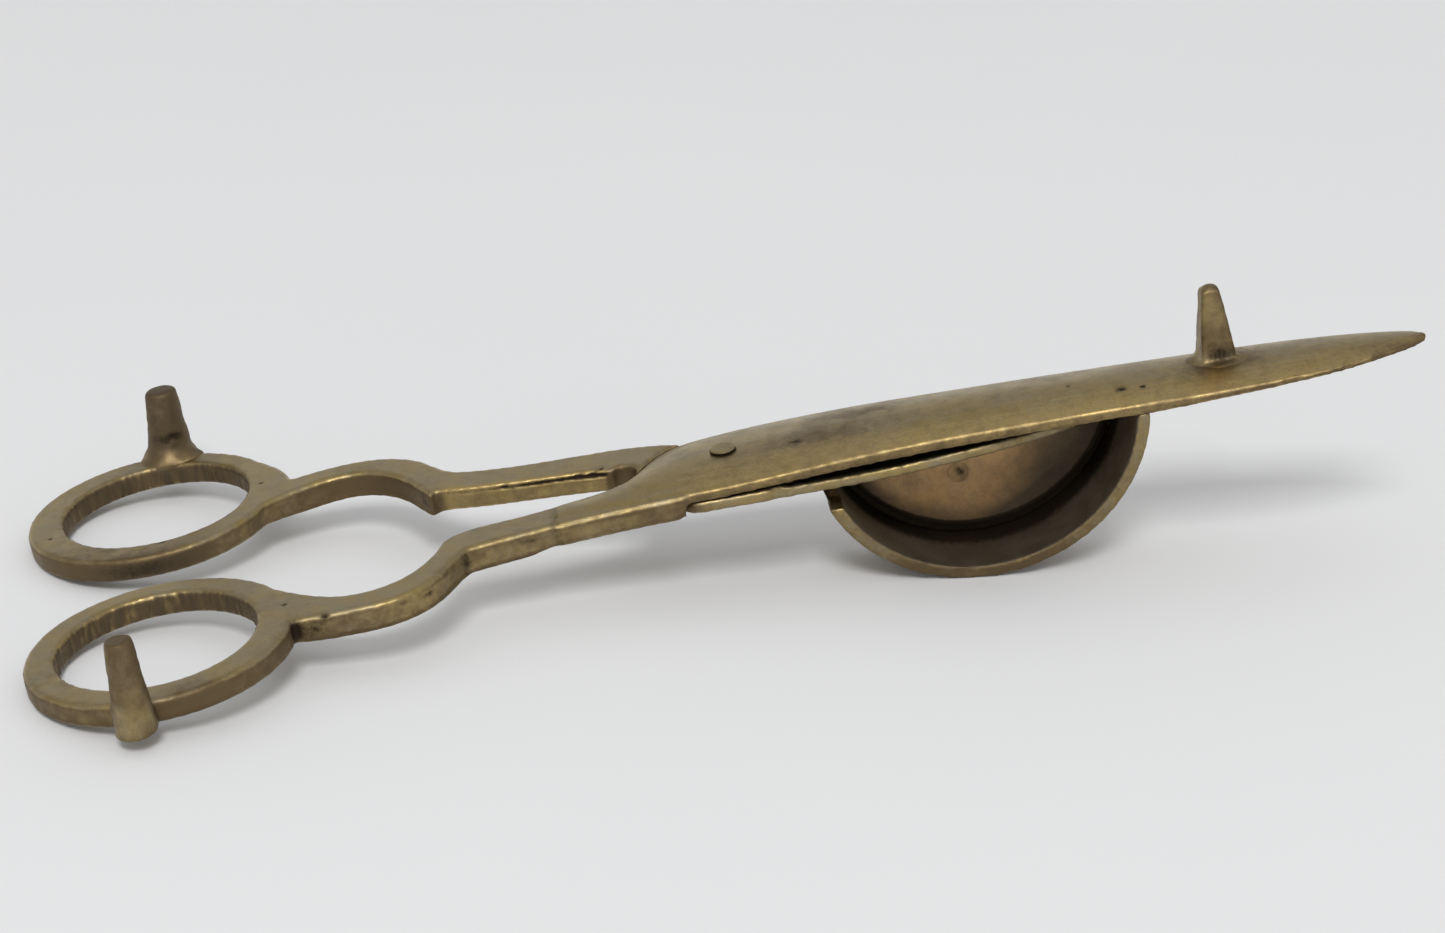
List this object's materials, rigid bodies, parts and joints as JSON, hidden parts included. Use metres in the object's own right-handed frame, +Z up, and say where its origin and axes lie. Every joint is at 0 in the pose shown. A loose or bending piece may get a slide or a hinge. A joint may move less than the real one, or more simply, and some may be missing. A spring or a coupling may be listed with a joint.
{
  "type": "candle snuffer scissors",
  "caption": "Cast brass candle snuffer: two finger rings on a rivet, a pointed blade with a half-round snuff box, and a shorter blade with a press plate that closes the box.",
  "frame": {"origin": "centre of the bounding box's bottom face, on the floor the tool rests on", "axes": "+X from the finger rings to the blade's tip, +Y from the box arm's ring to the press arm's ring, +Z up"},
  "size_m": [0.1749, 0.0792, 0.0357],
  "materials": {
    "arm_brass": "aged, brushed, olive-brown",
    "box_brass": "aged, dark inside, scuffed golden rim",
    "plate_brass": "aged, warm brown, dull",
    "rivet_brass": "worn, slightly brighter",
    "foot_brass": "mottled, polished ends"
  },
  "bodies": {
    "box_arm_body": {"box_arm": "arm_brass", "box_wall": "box_brass", "box_back": "box_brass", "pivot_rivet": "rivet_brass", "ring_foot_front": "foot_brass", "blade_foot": "foot_brass"},
    "press_arm_body": {"press_arm": "arm_brass", "press_plate": "plate_brass", "press_plate_rivet": "rivet_brass", "ring_foot_back": "foot_brass"}
  },
  "joints": [
    {"name": "rivet_hinge", "type": "hinge", "parent": "box_arm_body", "child": "press_arm_body", "pos_m": [0.00039, 0.00205, 0.01604], "axis": [0.1502, 0.0134, -0.9886], "range_deg": [0, 45]}
  ]
}
